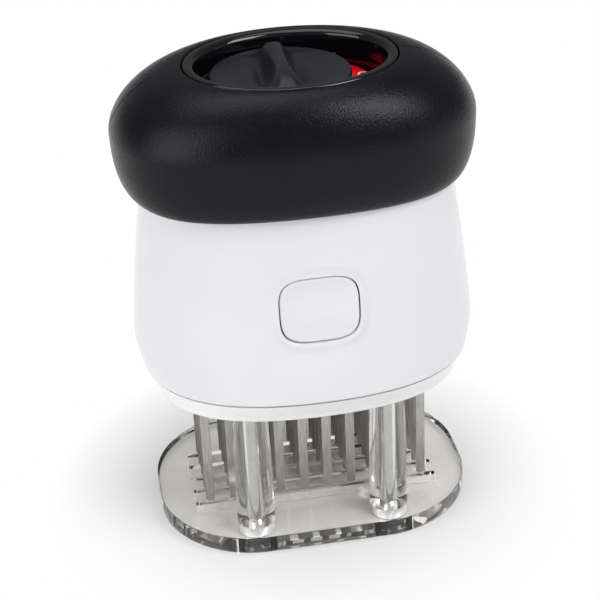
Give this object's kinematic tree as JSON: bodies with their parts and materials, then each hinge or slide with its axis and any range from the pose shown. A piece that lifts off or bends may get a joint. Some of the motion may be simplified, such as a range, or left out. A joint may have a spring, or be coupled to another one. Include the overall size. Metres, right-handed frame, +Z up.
{
  "type": "blade meat tenderizer",
  "caption": "Push-down blade meat tenderizer: soft oval grip with a lock knob, white housing with release buttons, and rows of thin steel blades over a clear slotted foot.",
  "frame": {"origin": "centre of the footprint, on the surface that the rubber feet stand on", "axes": "+Z up from the foot to the grip; the release button shown in the picture faces -Y; +X to its right"},
  "size_m": [0.1136, 0.085, 0.1565],
  "materials": {
    "clear_acrylic": "clear moulded acrylic",
    "polished_steel": "polished",
    "brushed_stainless": "brushed",
    "blade_stainless": "ground along the blade",
    "spring_steel": "drawn wire",
    "black_rubber": "moulded",
    "white_abs": "gloss moulded",
    "white_abs_warm": "gloss moulded",
    "soft_touch_black": "fine grained soft touch",
    "black_abs": "gloss moulded",
    "matte_black": "fine leather grain",
    "red_print": "printed",
    "grey_nylon": "moulded",
    "acetal": "moulded"
  },
  "bodies": {
    "foot": {"foot_plate": "clear_acrylic", "post_sleeve_front_left": "clear_acrylic", "post_sleeve_front_right": "clear_acrylic", "post_sleeve_rear_left": "clear_acrylic", "post_sleeve_rear_right": "clear_acrylic", "post_rod_front_left": "polished_steel", "post_rod_front_right": "polished_steel", "post_rod_rear_left": "polished_steel", "post_rod_rear_right": "polished_steel", "rubber_foot_front_left": "black_rubber", "rubber_foot_front_right": "black_rubber", "rubber_foot_rear_left": "black_rubber", "rubber_foot_rear_right": "black_rubber", "post_nut_front_left": "polished_steel", "post_nut_front_right": "polished_steel", "post_nut_rear_left": "polished_steel", "post_nut_rear_right": "polished_steel", "post_yoke": "brushed_stainless", "main_spring_left": "spring_steel", "main_spring_right": "spring_steel"},
    "cartridge": {"skirt_tray": "white_abs_warm", "blade_carrier": "grey_nylon", "blade_row_1": "blade_stainless", "blade_row_2": "blade_stainless", "blade_row_3": "blade_stainless", "blade_row_4": "blade_stainless", "blade_row_5": "blade_stainless", "clamp_plate": "brushed_stainless", "clamp_screws": "polished_steel"},
    "handle": {"housing": "white_abs", "chassis_plate": "grey_nylon", "chassis_screws": "polished_steel", "grip_cover": "soft_touch_black", "grip_core": "black_abs", "bezel_ring": "black_abs", "well_dish": "black_abs", "spindle_bush": "acetal"},
    "knob": {"lock_knob": "matte_black", "status_disc": "red_print", "lock_spindle": "acetal", "lock_bar": "brushed_stainless", "spindle_clip": "spring_steel"},
    "button_front": {"release_button_front": "white_abs", "latch_front": "acetal", "return_spring_front": "spring_steel"},
    "button_rear": {"release_button_rear": "white_abs", "latch_rear": "acetal", "return_spring_rear": "spring_steel"}
  },
  "joints": [
    {"name": "press", "type": "slide", "parent": "foot", "child": "cartridge", "axis": [0, 0, -1], "range_m": [0, 0.028], "stiffness_N_per_m": 900, "springref_m": -0.012, "deforming": ["main_spring_left", "main_spring_right"]},
    {"name": "handle_lift", "type": "slide", "parent": "cartridge", "child": "handle", "axis": [0, 0, 1], "range_m": [0, 0.04]},
    {"name": "lock_turn", "type": "hinge", "parent": "handle", "child": "knob", "pos_m": [-0.0033, 0, 0.15], "axis": [0, 0, 1], "range_deg": [-90, 0]},
    {"name": "button_front_press", "type": "slide", "parent": "handle", "child": "button_front", "axis": [0, 1, 0], "range_m": [0, 0.0025], "stiffness_N_per_m": 800, "springref_m": -0.001, "deforming": ["return_spring_front"]},
    {"name": "button_rear_press", "type": "slide", "parent": "handle", "child": "button_rear", "axis": [0, -1, 0], "range_m": [0, 0.0025], "stiffness_N_per_m": 800, "springref_m": -0.001, "deforming": ["return_spring_rear"]}
  ]
}
